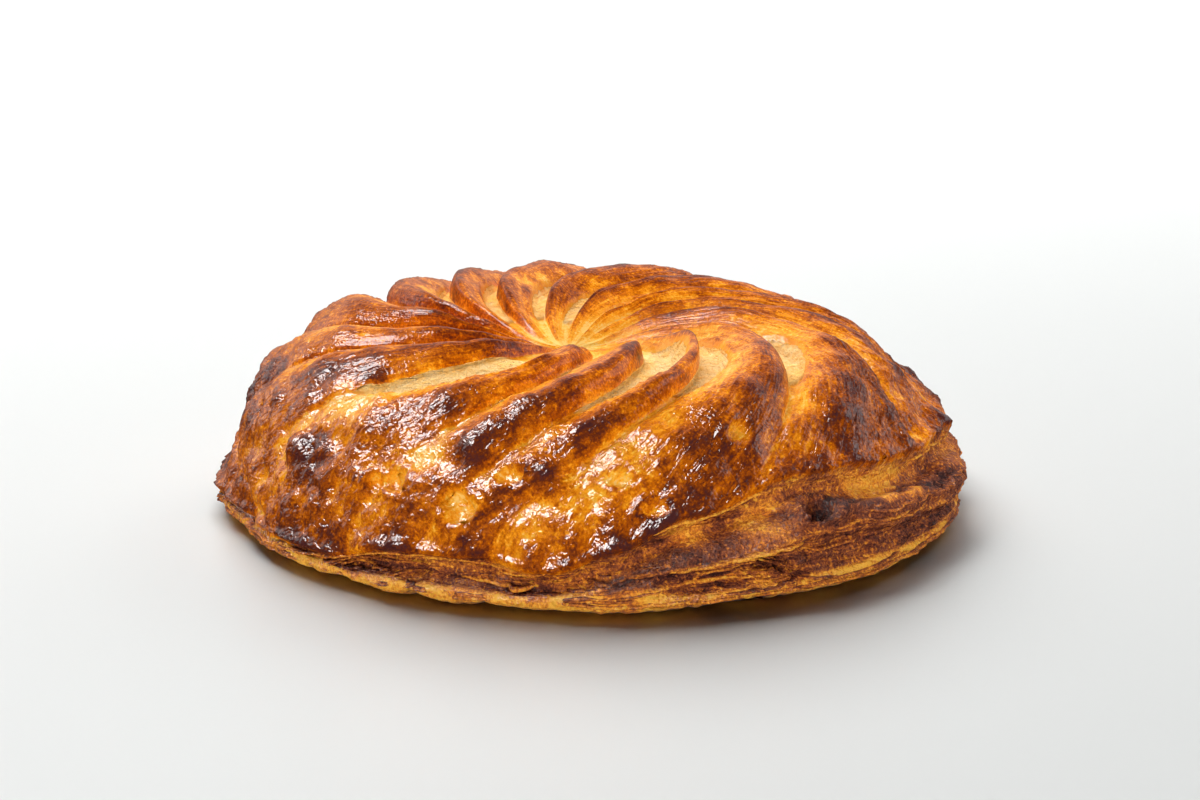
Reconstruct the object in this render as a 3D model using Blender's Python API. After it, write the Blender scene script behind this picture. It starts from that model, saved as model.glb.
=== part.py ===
"""A baked galette des rois: a domed puff pastry cake with a swirl of scored, puffed blades on top.

The cake is uncut, so it is one solid. A lathe outline is spun round the middle, then every point of
the spun mesh is moved to its place on the crust: the blades of the swirl, the grooves that opened
between them, the lid's edge with the layers under it, the blisters and the thin base sheet.
"""

import math
from collections import namedtuple

import bmesh
import bpy
from mathutils import Vector, noise

MM = 0.001
UP = Vector((0, 0, 1))

# The crust's outline on each side of the cake, from the hollow in the middle to the table, as (radius, height)
# in millimetres. It rose most on the left and at the back, and every list has the same number of points.
OUTLINES = (  # direction the side faces in degrees, then its points
    (180, ((0, 46), (28, 51.5), (50, 53.5), (67, 53), (83, 50.5), (94, 46), (100.5, 40), (105.5, 32),
           (110, 23), (112.5, 15), (112.5, 8), (112, 2.5), (109.5, 0))),
    (90, ((0, 46), (28, 51), (50, 53), (68, 53), (84, 50.5), (95, 46.5), (103, 40), (108, 32),
          (111, 23.5), (112.5, 15), (113, 7), (112, 2), (109, 0))),
    (0, ((0, 46), (28, 49.5), (46, 51), (61, 50), (74, 47.5), (83.5, 42.5), (90.5, 35.5), (99.5, 28),
         (108, 20.5), (109.5, 13.5), (109.5, 6.5), (109, 2), (106, 0))),
    (-90, ((0, 46), (28, 51), (47, 52.5), (64, 51.5), (79, 48.5), (90, 43.5), (98, 37), (104, 29.5),
           (108, 21.5), (111, 13.5), (113, 6), (112.5, 2), (110, 0))),
)

# The scored grooves of the swirl, counter-clockwise. Each starts in the middle, sweeps clockwise and opened
# to its width in mm between two shares of the way out. The blade after it is crest millimetres high.
Groove = namedtuple("Groove", "rim_degrees sweep_degrees width opens closes crest")
GROOVES = (
    Groove(-117, 86, 8.5, 0.16, 0.82, 7.0),
    Groove(-107, 108, 6.5, 0.20, 0.76, 7.5),
    Groove(-75, 106, 10, 0.38, 0.80, 6.5),
    Groove(-34, 90, 3.5, 0.50, 0.90, 5.0),
    Groove(-8, 84, 2.5, 0.30, 0.80, 5.0),
    Groove(18, 70, 2.5, 0.20, 0.60, 5.0),
    Groove(45, 60, 5.0, 0.10, 0.50, 6.0),
    Groove(74, 50, 6.0, 0.14, 0.66, 7.0),
    Groove(89, 64, 5.5, 0.14, 0.66, 7.0),
    Groove(102, 76, 5.5, 0.20, 0.70, 7.0),
    Groove(123, 80, 4.5, 0.24, 0.74, 7.0),
    Groove(160, 58, 2.5, 0.30, 0.80, 6.0),
    Groove(181, 64, 2.5, 0.30, 0.80, 6.5),
    Groove(205, 61, 12.5, 0.30, 0.90, 7.5),
    Groove(231, 66, 2.5, 0.16, 0.80, 7.5),
)
SHUT_GROOVE = 0.8 * MM  # width of a groove where it stayed shut
OPENING = 0.25  # a groove opens over this share of the way out
CLOSING = 0.2  # and closes over this share

# The blades of the swirl
SWIRL_CENTRE = Vector((-10 * MM, 0.5 * MM, 0))  # the scored middle sits a little off the cake's axis
RIM_RADIUS = 112 * MM  # mean radius at which the blades have run out
BLADE_START, BLADE_FULL = 0.02, 0.3  # a blade rises between these shares of the way out
BLADE_SINKS, BLADE_SUNK = 0.66, 0.98  # and sinks into the shoulder between these
SUNK_SHARE = 0.22  # share of its height that it keeps out on the rim
CREST_SIDE = 1.4  # over 1 moves a crest towards the next groove, so that its far side is steep
CREST_ROUNDNESS = 0.75  # under 1 makes a blade full and round, over 1 makes it sharp
BLADE_LEAN = 2.4 * MM  # how far a crest leans over the next groove
FULL_CREST = 7 * MM  # a blade this high leans over that far
SHARPEST = 6 * MM  # radius inside which a groove gets no wider in degrees
WIDEST_GROOVE = 0.5  # share of the room between two crests that a groove may take

# Height of the lid's lower edge round the cake, in millimetres, by compass angle in degrees.
# Under it the layers of the side show; where it is low, the crust runs down to the base sheet.
LID_EDGE = (
    (-170, 15), (-150, 8), (-120, 6.5), (-95, 12), (-78, 25), (-58, 31), (-42, 29), (-24, 27),
    (0, 24), (30, 20), (60, 26), (90, 17), (120, 23), (150, 18),
)
LID_ROLL, LID_ROLL_HEIGHT = 1.2 * MM, 5 * MM  # the rolled edge's rise, and how far up the lid it goes

# The side under the lid, as (top, bottom, depth or rise) in millimetres below the lid's edge
HOLLOW = (0, 7, 3.2)
BAND = (6, 16, 1.4)
CREASE = (15, 20, 1.8)
LEAF = 4.2 * MM  # height of one of the stepped leaves of the side
LEAF_STEP = 1 * MM
LAYER_WANDER = 2.2 * MM  # how far the band, crease and leaves wander up and down
WANDER_TURNS = 3  # the higher, the more often they do round the cake
LEAF_PATCH = 14 * MM  # size of the patches in which the leaves stand out more or less

BASE_SHEET = 5 * MM  # thickness of the bottom sheet at its edge
BASE_FADE = 2 * MM
BASE_RIPPLE, BASE_TURNS = 1.4 * MM, 9  # how far its edge ripples in and out, and how often
FLAP_SIDE = math.radians(180)  # where the two sheets' edges stick out as a flap
FLAP_REACH = 5.5 * MM
FLAP_HALF_WIDTH = math.radians(24)
FLAP_TOP = 17 * MM

# Uneven puffing, as (size across, rise) in millimetres
SWELLS = ((27, 1.5), (10, 0.9))
SHOULDER_SWELLS = ((5.5, 1.1),)
SHOULDER = (0.6, 0.85)  # shares of the way out between which the shoulder's own bumps set in
SIDE_REACH = 0.8  # share of the way out past which a point can lie on the side
FOOT_FADE = 3 * MM  # height over which all bumps fade out towards the table

# Puffed blisters on the shoulder: direction in degrees, height above the table, width and rise in mm
BLISTERS = (
    (-144, 31, 15, 2.2), (-120, 46, 9, 1.2), (-111, 40, 14, 2.2), (-131, 42, 17, 1.6),
    (-98, 33, 12, 1.8), (-74, 36, 12, 1.6), (-43, 40, 15, 2.4), (-28, 36, 13, 1.8),
    (-9, 26, 14, 1.8), (14, 28, 14, 1.6), (43, 34, 13, 1.8), (74, 38, 15, 2.2),
    (107, 40, 13, 1.8), (139, 41, 15, 2.4), (171, 38, 16, 2.2), (-166, 33, 12, 1.6),
)
BLISTER_SQUASH = 1.25  # over 1 makes a blister lower than it is wide
BLISTER_SKIRT = 0.62  # share of its width over which a blister falls away

# The lathe
TRIANGLES = 11600  # the finished solid's budget
COLUMNS = 396
TOP_STEP = 1.6 * MM
SIDE_STEP = 1.0 * MM
SIDE_START = 96 * MM  # plan radius outside which the rings lie closer together
OUTLINE_PARTS = 16  # fine points for each given point of an outline
RIM_SHARE = 0.8  # share of an outline past which a point counts as out on the rim
UNDER_RINGS = 3


def smooth(low, high, value):
    """0 below low, 1 above high, and an easy slope between."""
    t = min(1, max(0, (value - low) / (high - low)))
    return t * t * (3 - 2 * t)


def catmull(a, b, c, d, t):
    """The smooth curve through b and c at share t of the way between them."""
    return 0.5 * (2 * b + (c - a) * t + (2 * a - 5 * b + 4 * c - d) * t * t + (3 * b - a - 3 * c + d) * t**3)


def fine_outline(points):
    """An outline in metres, with smooth points filled in between its own."""
    points = [Vector(p) * MM for p in points]
    ends = [Vector((-points[1].x, points[1].y)), *points, 2 * points[-1] - points[-2]]
    fine = []
    for a, b, c, d in zip(ends, ends[1:], ends[2:], ends[3:]):
        fine += [catmull(a, b, c, d, i / OUTLINE_PARTS) for i in range(OUTLINE_PARTS)]
    return [*fine, points[-1]]


SIDES = [(math.radians(degrees), fine_outline(points)) for degrees, points in OUTLINES]
LAST = len(SIDES[0][1]) - 1


def outline_point(i, angle):
    """Point i of the plain crust's outline in a direction, mixed from the two sides next to it."""
    point = Vector((0, 0))
    for facing, outline in SIDES:
        point += max(0, math.cos(angle - facing)) ** 2 * outline[i]
    return point


def outline_at(share, angle):
    """The plain crust's radius and height at a share of the outline, and its outward normal."""
    i = min(int(share * LAST), LAST - 1)
    here = outline_point(i, angle)
    there = outline_point(i + 1, angle)
    along = there - here
    return here.lerp(there, share * LAST - i), Vector((-along.y, along.x)).normalized()


def round_table(table, angle):
    """A value that goes smoothly round the cake through a table of (degrees, value)."""
    degrees = math.degrees(angle)
    around = [(table[-1][0] - 360, table[-1][1]), *table, (table[0][0] + 360, table[0][1])]
    degrees = (degrees - around[0][0]) % 360 + around[0][0]
    for (a, low), (b, high) in zip(around, around[1:]):
        if degrees <= b:
            return low + (high - low) * smooth(a, b, degrees)
    return table[0][1]


def grooves_beside(column):
    """The groove before a column, the groove after it, and the share of the way that it lies between them."""
    degrees = (math.degrees(column) - GROOVES[0].rim_degrees) % 360 + GROOVES[0].rim_degrees
    laps = [*GROOVES, GROOVES[0]._replace(rim_degrees=GROOVES[0].rim_degrees + 360)]
    for groove, after in zip(laps, laps[1:]):
        if degrees <= after.rim_degrees:
            break
    return groove, after, (degrees - groove.rim_degrees) / (after.rim_degrees - groove.rim_degrees)


def angle_on_swirl(column, reach):
    """Direction of a column of the swirl, part of the way out. It ends at the column's own angle on the rim."""
    groove, after, phase = grooves_beside(column)
    sweep = groove.sweep_degrees + (after.sweep_degrees - groove.sweep_degrees) * phase
    return column + math.radians(sweep) * (1 - reach)


def blade_rise(column, reach, radius):
    """Height of the swirl's blade at a column: 0 on the floor of a groove, full height on the crest."""
    groove, after, phase = grooves_beside(column)
    here = math.radians(after.rim_degrees - groove.rim_degrees)
    middle = here + math.radians(after.sweep_degrees - groove.sweep_degrees) * (1 - reach)
    open_here = smooth(groove.opens, groove.opens + OPENING, reach)
    open_here *= 1 - smooth(groove.closes - CLOSING, groove.closes, reach)
    width = SHUT_GROOVE + groove.width * MM * open_here
    floor = min(WIDEST_GROOVE, width / (middle * max(radius, SHARPEST)))
    across = max(0, (phase - floor) / (1 - floor))
    size = smooth(BLADE_START, BLADE_FULL, reach)
    size *= 1 - (1 - SUNK_SHARE) * smooth(BLADE_SINKS, BLADE_SUNK, reach)
    return groove.crest * MM * size * math.sin(math.pi * across**CREST_SIDE) ** CREST_ROUNDNESS


def turn_from(direction, angle):
    """The signed turn from a direction to an angle, at most half a circle."""
    return (angle - direction + math.pi) % math.tau - math.pi


def swells(spot, sizes):
    """Uneven puffing at a spot: smooth noise of each of the given sizes."""
    return sum(rise * MM * noise.noise(spot / (across * MM)) for across, rise in sizes)


def blister_rise(point):
    """How far the blisters lift the crust at a point."""
    around = math.atan2(point.y, point.x)
    radius = math.hypot(point.x, point.y)
    rise = 0
    for direction, height, width, lift in BLISTERS:
        aside = turn_from(math.radians(direction), around) * radius
        gap = math.hypot(aside, (point.z - height * MM) * BLISTER_SQUASH)
        rise = max(rise, lift * MM * (1 - smooth(0, width * MM * BLISTER_SKIRT, gap)))
    return rise


def lid_edge_roll(above):
    """The lid's rolled edge swells a little just above the layers."""
    return LID_ROLL * (1 - smooth(0, LID_ROLL_HEIGHT, above))


def hump(value, band):
    """A rounded ridge across a band of (low, high, rise) millimetres: 0 outside it, its rise half way."""
    low, high, rise = band
    across = min(1, max(0, (value / MM - low) / (high - low)))
    return rise * MM * math.sin(math.pi * across) ** 2


def layers(point, outward, below):
    """The laminated side under the lid: a hollow below the lid's edge, a full band, a crease and leaves."""
    wandering = below + LAYER_WANDER * noise.noise(outward * WANDER_TURNS)
    leaf = wandering / LEAF
    step = leaf - math.floor(leaf) - 0.5
    strength = 0.6 * (1 + noise.noise(point / LEAF_PATCH))
    relief = hump(wandering, BAND) - hump(below, HOLLOW) - hump(wandering, CREASE)
    return relief + LEAF_STEP * strength * step


def side_relief(spot, outward, angle):
    """What the lid's edge, the layers under it and the rippled base sheet add to the plain side."""
    below = round_table(LID_EDGE, angle) * MM - spot.z
    above_sheet = smooth(BASE_SHEET, BASE_SHEET + BASE_FADE, spot.z)
    crust = layers(spot, outward, below) if below > 0 else lid_edge_roll(-below)
    return above_sheet * crust + (1 - above_sheet) * BASE_RIPPLE * noise.noise(outward * BASE_TURNS)


def flap(angle, height):
    """How far the flap of the two sheets' edges sticks out."""
    side = 1 - smooth(0.3 * FLAP_HALF_WIDTH, FLAP_HALF_WIDTH, abs(turn_from(FLAP_SIDE, angle)))
    return FLAP_REACH * side * (1 - smooth(0.4 * FLAP_TOP, FLAP_TOP, height))


def reach_at(share):
    """How far out on the swirl a share of the outline lies: 0 in the middle, 1 from the rim downwards."""
    if share > RIM_SHARE:
        return 1
    radius = sum(outline[int(share * LAST)].x for _, outline in SIDES) / len(SIDES)
    return min(1, radius / RIM_RADIUS)


def crust_point(column, share):
    """The crust at a column of the swirl, named by its angle on the rim, and a share of the outline."""
    reach = reach_at(share)
    angle = angle_on_swirl(column, reach)
    (radius, height), normal = outline_at(share, angle)
    outward = Vector((math.cos(angle), math.sin(angle), 0))
    aside = Vector((-outward.y, outward.x, 0))
    skin = outward * normal.x + UP * normal.y
    spot = outward * radius + UP * height

    rise = blade_rise(column, reach, radius)
    point = spot + skin * rise + aside * BLADE_LEAN * (rise / FULL_CREST) ** 2
    point += SWIRL_CENTRE * (1 - smooth(0, 1, reach))

    bumps = swells(spot, SWELLS)
    bumps += smooth(*SHOULDER, reach) * (swells(spot, SHOULDER_SWELLS) + blister_rise(spot))
    if reach > SIDE_REACH:
        bumps += side_relief(spot, outward, angle)
    point += skin * bumps * smooth(0, FOOT_FADE, height) + outward * flap(angle, height)
    point.z = max(0, point.z)
    return point


def ring_shares():
    """Where the rings lie on the outline: closer together on the side, where the layers show."""
    shares = [0.0]
    travelled = 0
    for i in range(LAST):
        here = outline_point(i, 0)
        travelled += (outline_point(i + 1, 0) - here).length
        if travelled >= (SIDE_STEP if here.x > SIDE_START else TOP_STEP):
            shares.append((i + 1) / LAST)
            travelled = 0
    return shares if shares[-1] == 1 else [*shares, 1.0]


def spin_lathe(shares):
    """A closed lathe with a ring for each share and a flat underside. Each point keeps its share."""
    mesh = bmesh.new()
    share_of = mesh.verts.layers.float.new("share")
    last = len(shares) - 1
    radii = [*range(last + 1), *(last * (1 - (i + 1) / UNDER_RINGS) for i in range(UNDER_RINGS))]
    chain = []
    for i, radius in enumerate(radii):
        vert = mesh.verts.new((radius, 0, -i))
        vert[share_of] = shares[i] if i <= last else 2 - radius / last
        chain.append(vert)
    edges = [mesh.edges.new(pair) for pair in zip(chain, chain[1:])]
    bmesh.ops.spin(
        mesh, geom=chain + edges, axis=UP, cent=(0, 0, 0), angle=math.tau, steps=COLUMNS, use_merge=True,
    )
    bmesh.ops.remove_doubles(mesh, verts=mesh.verts, dist=1e-4)
    return mesh, share_of


def shape_crust(mesh, share_of):
    """Moves each point of the lathe to its place on the cake, then centres the cake on the origin."""
    for vert in mesh.verts:
        column = math.atan2(vert.co.y, vert.co.x)
        share = vert[share_of]
        place = crust_point(column, min(share, 1))
        if share > 1:
            place *= 2 - share
            place.z = 0
        vert.co = place
    if mesh.calc_volume(signed=True) < 0:
        bmesh.ops.reverse_faces(mesh, faces=mesh.faces)
    for axis in (0, 1):
        reach = [vert.co[axis] for vert in mesh.verts]
        shift = -(min(reach) + max(reach)) / 2
        for vert in mesh.verts:
            vert.co[axis] += shift


def crust_material():
    material = bpy.data.materials.new("baked_crust")
    material.use_nodes = True
    shader = material.node_tree.nodes["Principled BSDF"]
    shader.inputs["Base Color"].default_value = (0.48, 0.17, 0.035, 1)
    shader.inputs["Roughness"].default_value = 0.35
    shader.inputs["Metallic"].default_value = 0
    return material


def build_galette():
    lathe, share_of = spin_lathe(ring_shares())
    shape_crust(lathe, share_of)
    mesh = bpy.data.meshes.new("galette")
    lathe.to_mesh(mesh)
    lathe.free()
    mesh.materials.append(crust_material())
    mesh.shade_smooth()
    galette = bpy.data.objects.new("galette", mesh)
    bpy.context.scene.collection.objects.link(galette)
    thin_out = galette.modifiers.new("triangle budget", "DECIMATE")
    thin_out.ratio = TRIANGLES / sum(len(face.vertices) - 2 for face in mesh.polygons)
    return galette


def main():
    for obj in list(bpy.data.objects):
        bpy.data.objects.remove(obj)
    build_galette()


main()
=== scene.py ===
import bisect
import math
import random

import bmesh
import bpy
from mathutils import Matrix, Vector, noise


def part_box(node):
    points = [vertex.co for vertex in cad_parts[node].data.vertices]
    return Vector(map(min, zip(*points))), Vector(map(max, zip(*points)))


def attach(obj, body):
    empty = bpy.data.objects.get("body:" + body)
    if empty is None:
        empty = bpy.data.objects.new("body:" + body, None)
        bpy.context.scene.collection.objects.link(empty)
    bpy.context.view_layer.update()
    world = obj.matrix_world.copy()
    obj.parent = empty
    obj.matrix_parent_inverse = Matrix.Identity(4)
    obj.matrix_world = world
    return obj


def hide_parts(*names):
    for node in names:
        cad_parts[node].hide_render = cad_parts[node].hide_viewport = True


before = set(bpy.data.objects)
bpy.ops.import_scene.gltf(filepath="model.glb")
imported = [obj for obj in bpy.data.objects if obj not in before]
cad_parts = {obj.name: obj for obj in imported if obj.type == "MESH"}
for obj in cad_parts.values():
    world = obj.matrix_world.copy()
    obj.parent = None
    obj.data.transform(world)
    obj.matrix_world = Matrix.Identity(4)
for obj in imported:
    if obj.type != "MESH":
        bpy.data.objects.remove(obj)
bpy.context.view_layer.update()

mm = 0.001
up = Vector((0, 0, 1))

# the crust is the same dome and swirl as the frame's solid, with finer folds on it
dome = {
    "columns": 720,  # points round the cake, two to a degree so that grooves fall on them
    "topStep": 1.35,  # mm between rings on the lid
    "sideStep": 0.95,  # closer together where the layers show
    "sideStart": 96,  # plan radius in mm where the side's rings begin
    "sideTop": 40,  # mm, the leaves on the side stay below this height
    "partsPerPoint": 16,  # smooth points between two points of an outline
    "tries": 4,  # places between two smooth points where a ring may lie
    "rimShare": 0.8,  # past this share of an outline everything counts as rim
    "rimRadius": 112,  # mm, where the reach from the middle is 1
    "underRings": 3,  # on the flat underside
    "middle": Vector((-10, 0.5, 0)),  # mm, the scored middle sits off the cake's axis
    "outlines": (  # side it faces in degrees, then radius and height in mm from the middle to the table
        (180, ((0, 46), (28, 51.5), (50, 53.5), (67, 53), (83, 50.5), (94, 46), (101.5, 40),
               (107, 32), (110.5, 23), (112.5, 15), (112.5, 8), (114.5, 4.6), (107, 1.8), (97, 0))),
        (90, ((0, 46), (28, 51), (50, 53), (68, 53), (84, 50.5), (95, 46.5), (103, 40),
              (108, 32), (111, 23.5), (112.5, 15), (113, 7.5), (114.5, 4.6), (107, 1.8), (97, 0))),
        (0, ((0, 46), (28, 49.5), (46, 51), (61, 50), (74, 47.5), (83.5, 42.5), (91.2, 36),
             (100.2, 28.5), (108, 20.5), (108.5, 13.5), (107.5, 7), (109, 4.4), (102, 1.7), (94, 0))),
        (-90, ((0, 46), (28, 51), (47, 52.5), (64, 51.5), (79, 48.5), (90, 43.5), (98, 37),
               (104, 29.5), (108, 21.5), (111, 13.5), (113.5, 7.5), (116, 4.6), (109, 1.8), (98, 0))),
    ),
}

swirl = {
    "grooves": (  # degrees on the rim, sweep, width in mm, reach where it opens and closes, crest in mm
        (-117, 86, 8.5, 0.16, 0.82, 7.0), (-107, 108, 6.5, 0.20, 0.76, 7.5),
        (-75, 106, 10, 0.38, 0.80, 6.5), (-34, 90, 3.5, 0.50, 0.90, 5.0),
        (-8, 84, 2.5, 0.30, 0.80, 5.0), (18, 70, 2.5, 0.20, 0.60, 5.0),
        (45, 60, 2.5, 0.10, 0.50, 6.0), (74, 50, 2.6, 0.14, 0.66, 7.0),
        (89, 64, 2.4, 0.14, 0.66, 7.0), (102, 76, 2.4, 0.20, 0.70, 7.0),
        (123, 80, 2.5, 0.24, 0.74, 7.0), (160, 58, 2.5, 0.30, 0.80, 6.0),
        (181, 64, 2.5, 0.30, 0.80, 5.0), (205, 61, 15, 0.30, 0.86, 5.2),
        (231, 66, 2.5, 0.16, 0.80, 6.5),
    ),
    "slack": 0.001,  # degrees, within which a column counts as lying on a groove
    "shutGroove": 0.8,  # mm, width that a closed groove keeps
    "opening": 0.25, "closing": 0.2,  # reach that a groove takes to open and to close
    "widest": 0.5, "sharpest": 6,  # share of the space between grooves, mm from the middle
    "rises": (0.03, 0.46), "sinks": (0.66, 0.98), "sunkShare": 0.22,  # reach where crests grow and sink
    "crestSide": (2.3, 1.2), "roundness": (1.0, 0.6), "fingers": (0.2, 0.6),  # from the middle outwards
    "lean": 2.4, "fullCrest": 7,  # mm that a crest of this height leans over
}

rim = {
    "lidEdge": (  # degrees round the cake, height of the lid's lower edge in mm
        (-172, 7), (-150, 6.5), (-134, 7), (-122, 13), (-108, 15), (-97, 11), (-88, 17), (-78, 25),
        (-58, 31), (-42, 29), (-24, 27),
        (0, 24), (30, 20), (60, 26), (90, 17), (120, 23), (150, 18)),
    "edgeWobble": 1.8, "edgeTurns": 6,
    "roll": 1.2, "rollHeight": 5,  # mm
    "hollow": (1.4, 3.5, 9, 4.2),  # mm below the lid where it is full, fades and ends, then its depth
    "band": (6, 16, 1.4), "crease": (15, 20, 1.8),  # mm below the lid from and to, then rise or depth
    "lips": ((1.6, 0.7, 0.8), (5.4, 0.5, 0.5), (14.2, 0.8, 1.0), (17.4, 0.6, 0.7)),  # mm down, width, rise
    "crumb": 1.3, "crumbSize": 3.4, "crumbLevel": 0.4,
    "leaf": 4.2, "leafStep": 1.0, "wander": 2.2, "wanderTurns": 3, "leafPatch": 14, "leafStrength": 0.6,
    "baseSheet": 5.5, "baseFade": 1.5, "baseRipple": 0.6, "baseTurns": 7, "baseCalm": 0.8,
    "ledges": (  # a line of degrees and heights, then how far the dough stands out above and below it in mm
        (((-92, 10), (-84, 11), (-76, 12.5), (-70, 13.5), (-66, 13), (-62, 8), (-58, 4)), 1.6, -2.0),
        (((-62, 20), (-55, 23), (-46, 22), (-38, 21), (-28, 18.5), (-16, 17)), -2.2, 1.8),
        (((-90, 19), (-82, 20.5), (-74, 25), (-66, 26), (-60, 22)), 1.0, -1.6),
        (((-128, 9), (-120, 10.5), (-110, 10), (-98, 8)), 0.8, -1.4),
    ),
    "ledgeFade": (3.5, 4.5), "ledgeStep": 0.5, "ledgeWander": 1.2, "ledgePatch": 9,  # mm
    "ledgeEnds": 5,  # degrees
    "cornerShadeWidth": 0.8, "paintedCornerShade": 0.35,  # mm, and how much darker the painted shade in a ledge's corner makes it
    "flapSide": 180, "flapHalfWidth": 24, "flapFull": 0.3,  # degrees, and share of the half width
    "flapReach": 5.5, "flapTop": 17, "flapSlope": 0.4, "flapFoot": 9,  # mm, and share of the height
    "swells": ((27, 1.5), (10, 0.9)), "shoulderSwells": ((6.5, 1.5), (3.2, 0.5)),  # mm, size and rise
    "shoulder": (0.6, 0.85), "sideReach": 0.8,  # reach where they begin
    "footFade": 3,  # mm above the table
    "blisters": (  # direction in degrees, height, width and rise in mm
        (-144, 31, 15, 2.2), (-120, 46, 9, 1.2), (-111, 40, 14, 2.2), (-131, 42, 17, 1.6),
        (-98, 33, 12, 1.8), (-74, 36, 12, 1.6), (-43, 40, 15, 2.4), (-28, 36, 13, 1.8),
        (-9, 26, 14, 1.8), (14, 28, 14, 1.6), (43, 34, 13, 1.8), (74, 38, 15, 2.2),
        (107, 40, 13, 1.8), (139, 41, 15, 2.4), (172, 38, 17, 1.8), (-166, 33, 12, 1.6)),
    "squash": 1.25, "skirt": 0.62,
}

folds = {
    "pucker": 0.65, "puckerSize": 6.5, "puckerShift": 0.4,  # mm, winding ridges, shifted by metres
    "wrinkle": 0.3, "wrinkleSize": 3.2, "sharpness": 2.2,
    "strand": 0.25, "strandSize": 2.025, "strandStretch": 3.5,  # folds that run along the blades
    "strandRadius": 0.1,  # metres, spreads the strands round the cake
    "onBlades": 0.25,  # share of the shoulder's ridges that the blades have
    "tear": 0.5, "tearSize": 2.6, "tearGaps": 5.98,  # mm, roughness of the raw dough in the grooves
}

# how brown it baked, with painted shade on the raw dough beside the steep walls, and where raw dough shows in
# the grooves
look = {
    "plain": 0.24,
    "onBlade": 0.12, "bladeRise": 0.5,  # share of the way across
    "inMiddle": 0.1, "middle": (0.06, 0.3),  # reach
    "onCrest": 0.28, "crestShift": 0.05, "crestWidths": (0.2, 0.36),
    "onShoulder": 0.06,
    "onFoot": 0.1, "footWidth": 4, "footCalm": 0.8,  # mm, and how little of it the shoulder has
    "paintedWallShade": 0.15, "wallWidth": 2.5,  # mm, painted shade that darkens the raw dough beside the steep wall
    "onEdge": 0.14, "edgeWidth": 7,  # mm, the lid's rolled edge
    "onBumps": 0.1,
    "blotches": ((24, 0.1, 0), (9, 0.14, 0.3)),  # size in mm, strength, shift in metres
    "onSide": 0.7, "sideBlotches": ((6, 0.14, 0), (16, 0.16, 0)),
    "onLips": 0.3, "inHollow": 0.14, "paleHollow": (0, 3, 5, 9),  # mm below the lid
    "onSheet": 0.16, "sheetBlotches": ((12, 0.24, 0), (4, 0.14, 0)),
    "glazeEdge": (-1, 1), "bareEdge": (-0.5, 1.5),  # mm below the lid
    "smoothBand": (1.5, 3, 12, 15),  # mm below the lid, where the layers' grain fades and comes back
    "creamStart": (0.05, 0.2),  # reach
    "creamEdge": 1.0, "creamFade": 1.0, "climb": 0.32,  # mm, and share of the groove's width that it climbs
    "creamDepth": 0.6, "lipRise": 0.7, "lipAt": 1.5, "lipWidth": 1.0,  # mm
    "innerFolds": 0.5,  # share of the shoulder's fine wrinkles and gloss that the blades have
}

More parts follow.
